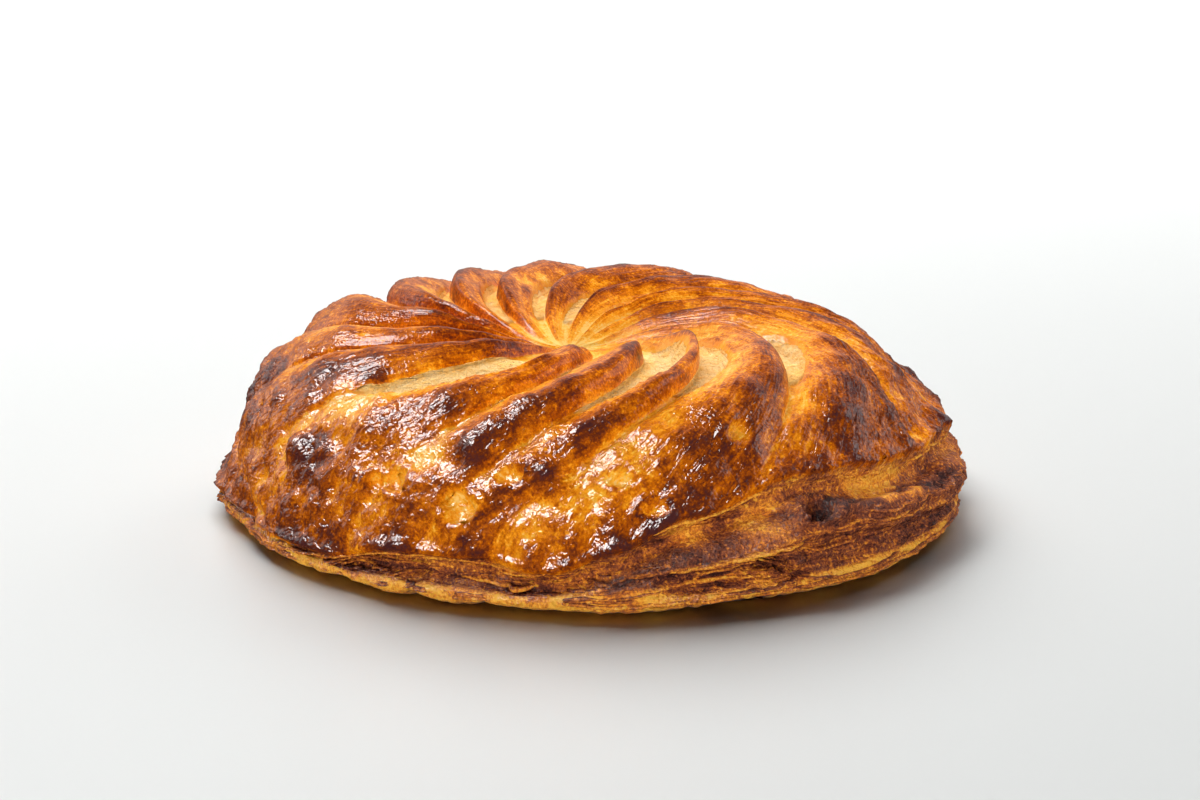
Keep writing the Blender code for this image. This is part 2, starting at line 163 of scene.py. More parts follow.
# browning goes from 0, raw cream, to 1, burnt; places are x, y, z in mm, then width and height
baking = {
    "burns": (  # the last number is the strength
        (-61, -52, 52, 8, 3.5, 0.7), (-37, -79, 48, 6, 4, 0.75), (-77, -67, 32, 12, 9, 1),
        (-32, -94, 41, 10, 7, 0.45), (-101, -10, 34, 20, 14, 0.75), (70, -67, 40, 9, 8, 0.8),
        (-14, -108, 16, 5, 4, 0.35), (-33, -105, 14, 6, 3, 0.35), (-52, -98, 15, 6, 2.5, 0.3),
        (-73, -81, 16, 8, 3.5, 0.4), (35, -96, 36, 16, 6, 0.35), (30, -93, 43, 6, 5, 0.25),
        (60, -84, 36, 14, 6, 0.35), (-62, -92, 6, 7, 1.5, 0.7),
        (-18, -108, 6, 8, 1.5, 0.8), (-112, 0, 12, 16, 6, 0.7), (104, -40, 10, 12, 5, 0.6),
        (-45, 62, 54, 40, 16, 0.45), (15, 76, 52, 44, 16, 0.55), (62, 56, 48, 40, 16, 0.42),
        (100, -30, 32, 14, 9, 0.35), (86, -76, 13, 16, 5, 0.4),
        (-91, -52, 26, 12, 8, 0.4), (-92, -58, 16, 12, 6, 0.35),
        (76, -80, 20, 9, 5, 0.55), (52, -96, 26, 3, 6, 0.5), (100, -48, 20, 8, 4, 0.4),
        (20, -110, 12, 12, 3, 0.4),
    ),
    "paleSpots": (
        (-51, -88, 30, 7, 5, 0.6), (-35, -99, 27, 9, 7, 0.7), (-21, -99, 35, 6, 4, 0.5),
        (8, -101, 35, 9, 5, 0.5), (40, -86, 44, 7, 6, 0.35), (64, -94, 4, 11, 3.5, 1.3),
        (84, -66, 24, 20, 4, 0.95), (100, -38, 29, 9, 4, 0.6), (27, -103, 21, 7, 4, 0.8),
        (46, -98, 22, 10, 4, 0.7), (-66, -63, 46, 13, 6, 0.7),
        # the spot on the right edge, at 112, -18, 16, is partly the crust's paler colour and partly painted
        # sheen from the grazing light
        (48, -103, 9, 10, 3.5, 0.7), (112, -18, 16, 20, 14, 0.5),
    ),
    "craters": (  # the last two numbers are the depth in mm and how dark it is inside; the dark insides of the deep holes are painted shade, the pale ones the crumb's own golden colour
        (-51, -88, 30, 5, 4, 2.8, 0.15), (-35, -99, 27, 6, 5, 2.8, 0.1), (-59, -86, 30, 3, 4, 2.4, 0.15),
        (-21, -99, 35, 4, 3, 1.8, 0.2), (8, -101, 35, 5, 3, 1.8, 0.15), (40, -86, 44, 5, 4, 1.8, 0.2),
        (18, -105, 28, 4, 3, 1.0, 0.3), (63, -91, 23, 6, 3, 5, 1.0), (46, -102, 11, 10, 2, 2.4, 0.8),
        (50, -99, 8, 3, 2, 2.4, 0.8), (70, -63, 44, 1.5, 1.5, 1.2, 0.9),
    ),
    "patchEdge": (0.4, 1.2), "fray": ((8, 0.55, 0), (3, 0.35, 0)),
    "burntTone": 0.92, "burntShare": 0.9, "paleTone": 0.12,
    "bowlEdge": (0.45, 1), "bowlFray": 0.45, "frayedSize": 4, "bowlShare": 0.7,
    "brimAt": 1.1, "brimWidth": 0.25, "brimRise": 0.35, "brimTone": 0.18,
}


def smooth(low, high, value):
    t = min(1, max(0, (value - low) / (high - low)))
    return t * t * (3 - 2 * t)


def mix(a, b, share):
    return a + (b - a) * share


def noiseAt(place, size):
    return noise.noise(place / (size * mm))


def mottled(place, sizes):  # noise of several sizes in mm, each with a strength and a shift in metres
    return sum(strength * noiseAt(place + up * shift, size) for size, strength, shift in sizes)


def hump(value, low, high, rise):  # rise in mm between two depths in mm
    across = min(1, max(0, (value / mm - low) / (high - low)))
    return rise * mm * math.sin(math.pi * across) ** 2


def curveThrough(points, parts):  # smooth points through a few given ones
    points = [Vector(p) * mm for p in points]
    ends = [Vector((-points[1].x, points[1].y)), *points, 2 * points[-1] - points[-2]]
    fine = []
    for a, b, c, d in zip(ends, ends[1:], ends[2:], ends[3:]):
        for i in range(parts):
            t = i / parts
            fine.append(0.5 * (2 * b + (c - a) * t + (2 * a - 5 * b + 4 * c - d) * t * t
                               + (3 * b - a - 3 * c + d) * t**3))
    return [*fine, points[-1]]


sides = [(math.radians(facing), curveThrough(points, dome["partsPerPoint"]))
         for facing, points in dome["outlines"]]
last = len(sides[0][1]) - 1
sideLength = sum((b - a).length for a, b in zip(sides[3][1], sides[3][1][1:]))


def ringShares():  # where the rings lie on the outline, closer together down the side
    shares = [0.0]
    travelled = 0
    outline = sides[2][1]
    tries = dome["tries"]
    for i in range(last * tries):
        start, end = outline[i // tries:i // tries + 2]
        here = start.lerp(end, i % tries / tries)
        there = start.lerp(end, (i % tries + 1) / tries)
        travelled += (there - here).length / mm
        if travelled >= (dome["sideStep"] if here.x > dome["sideStart"] * mm else dome["topStep"]):
            shares.append((i + 1) / last / tries)
            travelled = 0
    return shares if shares[-1] == 1 else [*shares, 1.0]


def ringOf(share):  # place and outward normal on the four sides, reach, and metres along the outline
    i = min(int(share * last), last - 1)
    rest = share * last - i
    parts = []
    for facing, outline in sides:
        point = outline[i].lerp(outline[i + 1], rest)
        before = outline[max(0, i - 1)].lerp(outline[i], rest)
        after = outline[i + 1].lerp(outline[min(last, i + 2)], rest)
        along = (after - before).normalized()
        parts.append((facing, point, Vector((-along.y, along.x))))
    mean = sum(part[1].x for part in parts) / len(parts)
    reach = 1 if share > dome["rimShare"] else min(1, mean / (dome["rimRadius"] * mm))
    return parts, reach, share * sideLength


def roundTable(table, degrees):  # goes smoothly round the cake through a table of degrees and values
    around = [(table[-1][0] - 360, table[-1][1]), *table, (table[0][0] + 360, table[0][1])]
    degrees = (degrees - around[0][0]) % 360 + around[0][0]
    for (a, low), (b, high) in zip(around, around[1:]):
        if degrees <= b:
            return low + (high - low) * smooth(a, b, degrees)
    return table[0][1]


def lidEdge(angle):  # height of the lid's lower edge in mm
    outward = Vector((math.cos(angle), math.sin(angle), 0))
    wobble = noise.noise(outward * rim["edgeTurns"]) + 0.5 * noise.noise(outward * rim["edgeTurns"] * 3)
    return roundTable(rim["lidEdge"], math.degrees(angle)) + rim["edgeWobble"] * wobble


def groovesBeside(column):  # the grooves on both sides of a column, and how far it is between them
    first = swirl["grooves"][0]
    laps = [*swirl["grooves"], (first[0] + 360, *first[1:])]
    slack = swirl["slack"]
    degrees = (math.degrees(column) - first[0] + slack / 10) % 360 + first[0] - slack / 10
    for groove, after in zip(laps, laps[1:]):
        if degrees <= after[0] - slack:
            break
    return groove, after, (degrees - groove[0]) / (after[0] - groove[0])


def turnFrom(direction, angle):
    return (angle - direction + math.pi) % math.tau - math.pi


def blisterRise(spot):
    around = math.atan2(spot.y, spot.x)
    radius = math.hypot(spot.x, spot.y)
    rise = 0
    for direction, height, width, lift in rim["blisters"]:
        aside = turnFrom(math.radians(direction), around) * radius
        gap = math.hypot(aside, (spot.z - height * mm) * rim["squash"])
        rise = max(rise, lift * mm * (1 - smooth(0, width * mm * rim["skirt"], gap)))
    return rise


def layers(spot, outward, below):  # relief of the layered side, and how much a point is on a leaf's lip
    wandering = below + rim["wander"] * mm * noise.noise(outward * rim["wanderTurns"])
    leaf = wandering / (rim["leaf"] * mm)
    strength = rim["leafStrength"] * (1 + noiseAt(spot, rim["leafPatch"]))
    relief = hump(wandering, *rim["band"]) - hump(wandering, *rim["crease"])
    full, fades, ends, depth = rim["hollow"]
    relief -= depth * mm * smooth(0, full, below / mm) * (1 - smooth(fades, ends, below / mm))
    relief += rim["leafStep"] * mm * strength * (leaf - math.floor(leaf) - 0.5)
    lip = sum(lift * math.exp(-((wandering / mm - down) / width) ** 2) for down, width, lift in rim["lips"])
    return relief + lip * mm * (0.5 + strength), lip


def ledgesAt(angle, height):  # relief in mm and the painted shade along the corner of each ledge
    degrees = (math.degrees(angle) + 180) % 360 - 180
    relief = cornerShade = 0
    for line, above, beneath in rim["ledges"]:
        start, end = line[0][0], line[-1][0]
        if not start < degrees < end:
            continue
        (a, low), (b, high) = next(pair for pair in zip(line, line[1:]) if degrees <= pair[1][0])
        gap = height - mix(low, high, smooth(a, b, degrees))
        ends = smooth(start, start + rim["ledgeEnds"], degrees)
        ends *= 1 - smooth(end - rim["ledgeEnds"], end, degrees)
        upward, downward = rim["ledgeFade"]
        upper = above * math.exp(-max(0, gap) / upward)
        lower = beneath * math.exp(min(0, gap) / downward)
        relief += ends * mix(lower, upper, smooth(-rim["ledgeStep"], rim["ledgeStep"], gap))
        # painted shade: a dark line in the corner where each ledge meets the side
        corner = gap / rim["cornerShadeWidth"] + (1 if above > beneath else -1)
        cornerShade = max(cornerShade, ends * math.exp(-corner ** 2))
    return relief, cornerShade


def farFrom(place, spot, width, height):  # 1 at the edge of a patch that lies on a spot
    gap = place - Vector(spot) * mm
    if max(abs(gap.x), abs(gap.y)) > 2 * width * mm:
        return math.inf
    return math.hypot(math.hypot(gap.x, gap.y) / width, gap.z / height) / mm


def patchMask(place, patches, frayed):  # strongest of the patches that reach a place, with frayed edges
    strongest = 0
    for *spot, width, height, strength in patches:
        far = farFrom(place, spot, width, height) + frayed
        strongest = max(strongest, strength * (1 - smooth(*baking["patchEdge"], far)))
    return strongest


def craterAt(place):  # a burst bubble: a bowl with a raised rim
    deep = inside = shade = ring = 0
    frayed = baking["bowlFray"] * noiseAt(place, baking["frayedSize"])
    for *spot, width, height, depth, dark in baking["craters"]:
        far = farFrom(place, spot, width, height) + frayed
        bowl = 1 - smooth(*baking["bowlEdge"], far)
        brim = math.exp(-((far - baking["brimAt"]) / baking["brimWidth"]) ** 2)
        deep -= depth * mm * (bowl - baking["brimRise"] * brim)
        ring = max(ring, brim)
        if bowl > inside:
            inside = bowl
            shade = dark
    return deep, inside, shade, ring


def onDome(parts, angle):  # radius, height and outward normal of the smooth dome in a direction
    radius = height = 0
    normal = Vector((0, 0))
    for facing, point, lean in parts:
        share = max(0, math.cos(angle - facing)) ** 2
        radius += share * point.x
        height += share * point.y
        normal += share * lean
    return radius, height, normal.normalized()


def bladeAt(groove, after, phase, reach, radius):  # from the groove's floor over the crest to the steep side
    degrees, sweep, width, opens, closes, crest = groove
    room = math.radians(after[0] - degrees) + math.radians(after[1] - sweep) * (1 - reach)
    isOpen = smooth(opens, opens + swirl["opening"], reach)
    isOpen *= 1 - smooth(closes - swirl["closing"], closes, reach)
    width = (swirl["shutGroove"] + width * isOpen) * mm
    floor = min(swirl["widest"], width / (room * max(radius, swirl["sharpest"] * mm)))
    across = max(0, (phase - floor) / (1 - floor))
    size = smooth(*swirl["rises"], reach)
    size *= 1 - (1 - swirl["sunkShare"]) * smooth(*swirl["sinks"], reach)
    outwards = smooth(*swirl["fingers"], reach)
    side = mix(*swirl["crestSide"], outwards)
    section = math.sin(math.pi * across ** side) ** mix(*swirl["roundness"], outwards)
    return {
        "isOpen": isOpen, "across": across, "size": size, "side": side, "section": section,
        "rise": crest * mm * size * section,
        "fromFloor": (phase - floor) * room * radius / mm,
        "fromWall": phase * room * radius / mm,
    }


def sideRelief(spot, outward, angle, below):  # relief under the lid or on its rolled edge, lips, and the painted shade in the ledges' corners
    if below <= 0:
        return rim["roll"] * mm * (1 - smooth(0, rim["rollHeight"] * mm, -below)), 0, 0
    relief, lip = layers(spot, outward, below)
    relief += rim["crumb"] * mm * (rim["crumbLevel"] - abs(noiseAt(spot, rim["crumbSize"])))
    height = spot.z / mm + rim["ledgeWander"] * noiseAt(spot, rim["ledgePatch"])
    ledge, cornerShade = ledgesAt(angle, height)
    return relief + ledge * mm, lip, cornerShade


def fineFolds(spot, outward, grain, onShoulder, section):
    shifted = spot + outward * folds["puckerShift"]
    ridges = folds["pucker"] * (1 - folds["sharpness"] * abs(noiseAt(shifted, folds["puckerSize"])))
    ridges += folds["wrinkle"] * (1 - folds["sharpness"] * abs(noiseAt(spot, folds["wrinkleSize"])))
    along = Vector((grain.x, grain.y, grain.z / folds["strandStretch"]))
    strands = folds["strand"] * noiseAt(along, folds["strandSize"]) * section
    return (mix(folds["onBlades"], 1, onShoulder) * ridges + strands) * mm


def flapAt(angle, height):  # the pinched flap that sticks out of the side
    out = abs(turnFrom(math.radians(rim["flapSide"]), angle)) / math.radians(rim["flapHalfWidth"])
    top = rim["flapTop"] * mm
    flap = rim["flapReach"] * mm * (1 - smooth(rim["flapFull"], 1, out))
    return flap * (1 - smooth(rim["flapSlope"] * top, top, height)) * smooth(0, rim["flapFoot"] * mm, height)


def bladeTone(blade, reach, onShoulder):  # crests baked most, the floors of opened grooves least; painted shade darkens the raw dough beside the steep wall
    middle = 1 - smooth(*look["middle"], reach)
    crestAt = 0.5 ** (1 / blade["side"]) + look["crestShift"]
    beside = (blade["across"] - crestAt) / look["crestWidths"][blade["across"] > crestAt]
    crest = math.exp(-beside ** 2) * min(1, blade["size"] * 2)
    foot = 1 - smooth(0, look["footWidth"], blade["fromFloor"])
    tone = look["plain"] + look["onBlade"] * smooth(0, look["bladeRise"], blade["across"])
    tone += look["onCrest"] * crest * (1 - 0.5 * middle) - look["inMiddle"] * middle
    tone += look["onShoulder"] * onShoulder
    tone -= look["onFoot"] * foot * (1 - look["footCalm"] * onShoulder)
    # painted shade: the raw dough is darker next to the steep wall that overhangs it
    return tone + look["paintedWallShade"] * blade["isOpen"] * math.exp(-(blade["fromWall"] / look["wallWidth"]) ** 2)


def sideTone(spot, below, lip, cornerShade):  # the lips and the hollow baked less, the ledges' corners darker with painted shade
    start, full, fades, ends = (edge * mm for edge in look["paleHollow"])
    tone = look["onSide"] + mottled(spot, look["sideBlotches"]) - look["onLips"] * lip
    tone -= look["inHollow"] * smooth(start, full, below) * (1 - smooth(fades, ends, below))
    return tone + rim["paintedCornerShade"] * cornerShade


def crustPoint(column, ring):  # its place, then the values that the material reads there
    parts, reach, travelled = ring
    groove, after, phase = groovesBeside(column)
    angle = column + math.radians(mix(groove[1], after[1], phase)) * (1 - reach)
    radius, height, normal = onDome(parts, angle)
    outward = Vector((math.cos(angle), math.sin(angle), 0))
    aside = Vector((-outward.y, outward.x, 0))
    skin = outward * normal.x + up * normal.y
    spot = outward * radius + up * height
    blade = bladeAt(groove, after, phase, reach, radius)
    grain = Vector((math.cos(column), math.sin(column), 0)) * folds["strandRadius"] + up * travelled
    below = lidEdge(angle) * mm - height
    onShoulder = smooth(*rim["shoulder"], reach)

    bumps = sum(lift * mm * noiseAt(spot, size) for size, lift in rim["swells"])
    bumps += onShoulder * sum(lift * mm * noiseAt(spot, size) for size, lift in rim["shoulderSwells"])
    bumps += onShoulder * blisterRise(spot)
    onSheet = underLid = lip = cornerShade = 0
    glazed = 1
    if reach > rim["sideReach"]:
        onSheet = 1 - smooth(rim["baseSheet"] * mm, (rim["baseSheet"] + rim["baseFade"]) * mm, height)
        glazed = 1 - smooth(*(edge * mm for edge in look["glazeEdge"]), below)
        underLid = smooth(*(edge * mm for edge in look["bareEdge"]), below)
        relief, lip, cornerShade = sideRelief(spot, outward, angle, below)
        ripple = noise.noise(outward * rim["baseTurns"]) + 0.8 * noise.noise(outward * rim["baseTurns"] * 7)
        bumps *= 1 - rim["baseCalm"] * onSheet
        bumps += mix(relief, rim["baseRipple"] * mm * ripple, onSheet)
    bumps += glazed * fineFolds(spot, outward, grain, onShoulder, blade["section"])

    # raw dough lies on the groove's floor, runs up the blade and ends in a torn lip of crust
    fromFloor = blade["fromFloor"] - look["climb"] * groove[2] * blade["isOpen"]
    torn = fromFloor - look["creamEdge"]
    cream = blade["isOpen"] * (1 - smooth(0, look["creamFade"], torn)) * smooth(*look["creamStart"], reach)
    crustLip = blade["isOpen"] * math.exp(-((torn - look["lipAt"]) / look["lipWidth"]) ** 2)
    rough = noiseAt(spot, folds["tearSize"]) - abs(noiseAt(spot, folds["tearGaps"]))
    bumps += (look["lipRise"] * crustLip - look["creamDepth"] * cream + folds["tear"] * cream * rough) * mm

    lean = swirl["lean"] * mm * (blade["rise"] / (swirl["fullCrest"] * mm)) ** 2
    place = spot + skin * blade["rise"] + aside * lean
    place += dome["middle"] * mm * (1 - smooth(0, 1, reach))
    place += skin * bumps * smooth(0, rim["footFade"] * mm, height) + outward * flapAt(angle, height)
    place.z = max(0, place.z)

    tone = bladeTone(blade, reach, onShoulder) + mottled(spot, look["blotches"])
    tone += look["onBumps"] * bumps / mm
    tone += look["onEdge"] * math.exp(-(below / (look["edgeWidth"] * mm)) ** 2) * onShoulder
    tone = mix(tone, sideTone(spot, below, lip, cornerShade), underLid)
    tone = mix(tone, look["onSheet"] + mottled(spot, look["sheetBlotches"]), onSheet)
    fades, gone, returns, full = (edge * mm for edge in look["smoothBand"])
    leafy = smooth(returns, full, below) + 1 - smooth(fades, gone, below)
    split = blade["isOpen"] * smooth(*look["creamStart"], reach), fromFloor, underLid
    return place, tone, leafy, mix(look["innerFolds"], 1, onShoulder), split, grain


# what the material reads at every point; split is how open the groove is, mm past its floor, and whether
# the point lies under the lid, and grain runs along the blades
pointValues = {
    "tone": "float", "leafy": "float", "wrinkled": "float", "split": "float_vector", "grain": "float_vector",
}


def valueLayers(shape):
    for name, kind in pointValues.items():
        getattr(shape.verts.layers, kind).new(name)
    return [getattr(shape.verts.layers, kind)[name] for name, kind in pointValues.items()]


def inScene(name, data):
    thing = bpy.data.objects.new(name, data)
    bpy.context.scene.collection.objects.link(thing)
    return thing


def finished(shape, name):
    mesh = bpy.data.meshes.new(name)
    shape.to_mesh(mesh)
    shape.free()
    mesh.shade_smooth()
    print(name + ":", len(mesh.polygons), "faces")
    return inScene(name, mesh)


def centreOnFrame(shape):
    low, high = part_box("galette")
    for axis in (0, 1):
        reach = [vert.co[axis] for vert in shape.verts]
        shift = (low[axis] + high[axis] - min(reach) - max(reach)) / 2
        for vert in shape.verts:
            vert.co[axis] += shift


def sideOf(shape):  # heights and radii of the side in every direction
    side = [[] for i in range(dome["columns"])]
    for vert in shape.verts:
        if 0 < vert.co.z < dome["sideTop"] * mm and vert.co.xy.length > dome["sideStart"] * mm:
            direction = math.atan2(vert.co.y, vert.co.x) / math.tau % 1
            side[int(direction * dome["columns"])].append((vert.co.z, vert.co.xy.length))
    for column in side:
        column.sort()
    return side


def galetteCrust():
    rings = [ringOf(share) for share in ringShares()]
    outermost = len(rings) - 1
    under = dome["underRings"]
    lathe = bmesh.new()
    ringLayer = lathe.verts.layers.int.new("ring")
    tone, leafy, wrinkled, split, grain = valueLayers(lathe)
    chain = []
    for i in range(outermost + 1 + under):
        radius = min(i, outermost * (1 - (i - outermost) / under))
        vert = lathe.verts.new((radius, 0, -i))
        vert[ringLayer] = i
        chain.append(vert)
    edges = [lathe.edges.new(pair) for pair in zip(chain, chain[1:])]
    bmesh.ops.spin(lathe, geom=chain + edges, axis=up, cent=(0, 0, 0), angle=math.tau,
                   steps=dome["columns"], use_merge=True)
    bmesh.ops.remove_doubles(lathe, verts=lathe.verts, dist=1e-4)
    for vert in lathe.verts:
        column = math.atan2(vert.co.y, vert.co.x)
        i = vert[ringLayer]
        values = crustPoint(column, rings[min(i, outermost)])
        place, vert[tone], vert[leafy], vert[wrinkled], vert[split], vert[grain] = values
        if i > outermost:
            place *= 1 - (i - outermost) / under
            place.z = 0
        vert.co = place
    if lathe.calc_volume(signed=True) < 0:
        bmesh.ops.reverse_faces(lathe, faces=lathe.faces)
    centreOnFrame(lathe)
    lathe.normal_update()
    for vert in lathe.verts:
        deep, inside, shade, ring = craterAt(vert.co)
        vert.co += vert.normal * deep
        frayed = mottled(vert.co, baking["fray"])
        burnt = patchMask(vert.co, baking["burns"], frayed)
        pale = patchMask(vert.co, baking["paleSpots"], -frayed)
        vert[tone] = mix(mix(vert[tone], baking["paleTone"], pale), baking["burntTone"],
                         baking["burntShare"] * burnt)
        # the dark insides of the deep holes are painted shade
        vert[tone] = mix(vert[tone], shade, baking["bowlShare"] * inside) + baking["brimTone"] * ring
    side = sideOf(lathe)
    return finished(lathe, "galette_crust"), side


leaf = {
    "count": 60,
    "spans": (10, 42),  # degrees round the cake
    "upTo": 0.75,  # share of the way from the sheet to the lid
    "reach": (0.5, 1.3), "thick": (0.4, 0.8),  # mm
    "darker": (0, 0.25),
    "lowest": 4.5, "underLid": 0.8,  # mm
    "waver": 1.1, "waverTurns": 7, "fineWaver": 0.35, "fineTurns": 4,
    "ragged": 0.5, "raggedSize": 3, "length": 0.75,
    "buried": 1.4,  # mm
    "endFade": 6,  # degrees
    "step": 0.9,  # mm along its edge
    "toneSize": 7, "toneSwing": 0.2,
    "layered": 0.6,
    "section": (  # share of its reach, share of its thickness, tone; the dark tones under the leaf are painted shade of the gap beneath it
        (-1, 0.9, 0.6), (0.5, 0.6, 0.5), (1, 0.15, 0.3),
        (0.9, -0.4, 0.45), (0.15, -0.7, 0.8), (-1, -1.6, 0.9)),
    "onLip": (0.96, 1.1, 0.6, -0.1),  # share of the way up, reach and thickness in mm, tone
    "lipSpans": (  # degrees, under the lid's edge
        (-84, -58), (-52, -40), (-31, -8), (8, 40), (52, 96), (108, 150), (160, 190), (-150, -92)),
    "onSheet": (0.0, 1.0, 0.8, 0),
    "sheetSpans": (  # on the bottom sheet
        (-160, -96), (-104, -66), (-70, -20), (-10, 60), (66, 130), (136, 196)),
    "folds": (  # ends in degrees, then as above
        (-82, -56, 0.42, 2.2, 0.8, -0.2), (-78, -60, 0.3, 1.2, 0.6, 0), (-86, -62, 0.2, 1.4, 0.7, -0.1),
        (-76, -64, 0.1, 0.9, 0.5, 0.1), (-112, -94, 0.4, 1.2, 0.8, -0.1)),
}


def radiusAt(side, direction, height):  # how far out the crust's side is in a direction at a height
    share = direction / math.tau % 1 * dome["columns"] - 0.5
    radii = []
    for column in (side[int(share)], side[(int(share) + 1) % dome["columns"]]):
        above = min(max(1, bisect.bisect(column, (height, 0))), len(column) - 1)
        (low, inner), (high, outer) = column[above - 1:above + 1]
        radii.append(mix(inner, outer, min(1, max(0, (height - low) / max(1e-6, high - low)))))
    return mix(*radii, share % 1)


def leafPlans():  # ends in degrees, share of the way up, reach and thickness in mm, tone
    random.seed(12)
    plans = [(*span, *leaf["onLip"]) for span in leaf["lipSpans"]]
    plans += [(*span, *leaf["onSheet"]) for span in leaf["sheetSpans"]]
    plans += leaf["folds"]
    for i in range(leaf["count"]):
        start = random.uniform(-180, 180)
        end = start + random.uniform(*leaf["spans"])
        share = leaf["upTo"] * random.random() ** 2
        sizes = [random.uniform(*leaf[key]) for key in ("reach", "thick", "darker")]
        plans.append((start, end, share, *sizes))
    return plans


def leafStrip(side, index, plan):
    start, end, share, reach, thick, darker = plan
    strip = bmesh.new()
    cornerLayer = strip.verts.layers.int.new("corner")
    tone, leafy, wrinkled, split, grain = valueLayers(strip)
    first = Vector((math.cos(math.radians(start)), math.sin(math.radians(start)), 0))
    loop = []
    for k, corner in enumerate(leaf["section"]):
        vert = strip.verts.new(first * (dome["rimRadius"] + corner[0]) + up * corner[1])
        vert[cornerLayer] = k
        loop.append(vert)
    edges = [strip.edges.new(pair) for pair in zip(loop, loop[1:] + loop[:1])]
    turn = math.radians(end - start)
    bmesh.ops.spin(strip, geom=loop + edges, axis=up, cent=(0, 0, 0), angle=turn,
                   steps=round(turn * dome["rimRadius"] / leaf["step"]), use_merge=False)
    bmesh.ops.holes_fill(strip, edges=[edge for edge in strip.edges if edge.is_boundary])
    for vert in strip.verts:
        out, rise, shade = leaf["section"][vert[cornerLayer]]
        direction = math.atan2(vert.co.y, vert.co.x)
        along = (math.degrees(direction) - start) % 360
        outward = Vector((math.cos(direction), math.sin(direction), 0))
        turned = outward * leaf["waverTurns"] + up * index
        top = lidEdge(direction) - leaf["underLid"]
        height = mix(leaf["lowest"], top, share) + leaf["waver"] * noise.noise(turned)
        height += leaf["fineWaver"] * leaf["waver"] * noise.noise(turned * leaf["fineTurns"])
        ends = smooth(0, leaf["endFade"], along)
        ends *= smooth(0, leaf["endFade"], end - start - along)
        torn = noise.noise(outward * dome["rimRadius"] / leaf["raggedSize"] + up * index)
        length = reach * (leaf["length"] + leaf["ragged"] * torn)
        past = mix(-leaf["buried"], length * out, ends) if out > 0 else -leaf["buried"]
        radius = radiusAt(side, direction, height * mm) + past * mm
        vert.co = outward * radius + up * (height + rise * thick) * mm
        # the darker underside of each leaf is painted shade of the gap beneath it
        vert[tone] = shade + darker + leaf["toneSwing"] * noiseAt(vert.co, leaf["toneSize"])
        vert[leafy] = leaf["layered"]
        vert[wrinkled] = 1
        vert[split] = (0, 0, 1)
        vert[grain] = outward * folds["strandRadius"] + up * height * mm
    bmesh.ops.recalc_face_normals(strip, faces=strip.faces)
    return strip


def sideLeaves(side):
    leaves = bmesh.new()
    for index, plan in enumerate(leafPlans()):
        strip = leafStrip(side, index, plan)
        one = bpy.data.meshes.new("leaf")
        strip.to_mesh(one)
        strip.free()
        leaves.from_mesh(one)
        bpy.data.meshes.remove(one)
    return finished(leaves, "side_leaves")


def newNode(tree, kind, **settings):
    node = tree.nodes.new(kind)
    for name, value in settings.items():
        setattr(node, name, value)
    return node


crustLook = {
    "glazedStops": (  # tone, then colour in linear light
        (0.0, (0.95, 0.60, 0.16)),
        (0.14, (0.94, 0.45, 0.035)),
        (0.30, (0.86, 0.30, 0.008)),
        (0.46, (0.62, 0.155, 0.002)),
        (0.62, (0.36, 0.07, 0.002)),
        (0.80, (0.14, 0.024, 0.004)),
        (1.0, (0.065, 0.016, 0.015)),
    ),
    "rawStops": (
        (0.0, (1.0, 0.69, 0.31)),
        (0.12, (1.0, 0.58, 0.17)),
        (0.26, (0.96, 0.42, 0.06)),
        (0.5, (0.55, 0.16, 0.02)),
    ),
    "bareStops": (
        (0.0, (1.0, 0.50, 0.06)),
        (0.14, (0.93, 0.36, 0.035)),
        (0.32, (0.70, 0.21, 0.03)),
        (0.50, (0.43, 0.112, 0.028)),
        (0.70, (0.20, 0.052, 0.026)),
        (1.0, (0.04, 0.014, 0.013)),
    ),
    "textures": {  # scale per metre, detail, roughness, distortion
        "streaks": (420, 3, 0.6, 0.4),
        "speckle": (1300, 2, 0.6, 0),
        "dots": (800, 1, 0.5, 0),
        "mottle": (230, 4, 0.75, 0.6),
        "marble": (105, 5, 0.65, 1.2),
        "leaves": (130, 3, 0.6, 0.8),
        "crumbs": (520, 3, 0.7, 0),
        "wrinkles": (600, 1, 0.4, 0.8),
        "puckers": (420, 1, 0.4, 1.5),
        "fine": (1500, 2, 0.5, 0),
    },
    "strandStretch": (1, 1, 0.4), "leafStretch": (1, 1, 7),
    "dotEdge": (0.56, 0.7),
    "rawFrom": 0.6, "rawTo": 1.3, "rawFray": 1.6,  # mm past the groove's floor where the raw dough ends
    "rawEdge": (0.3, 0.5),
    "lipWidth": 1.2, "lipShare": 0.8, "lipTone": 0.22, "lipMottle": 0.4,
    "bareEdge": (0.3, 0.7), "bareFray": 0.8,
    "mottle": 0.6, "marble": 0.55, "streaks": 0.65, "leaves": 1.1,  # swings of the browning
    "speckle": 1.1, "dots": 0.3, "underGlaze": 0.5,  # share of speckle and dots that shows under the glaze
    "rawShare": 0.35, "rawCrumbs": 0.4, "rawMarble": 0.3,
    "coat": 0.7, "coatRough": 0.1, "dulled": 0.35,
    "shine": 0.02, "glazed": 0.36, "matte": 0.65, "unevenRough": 0.2,
    "bump": 0.6,  # mm
    "folded": 0.75, "pitted": 0.18, "rugged": 3.5,
}


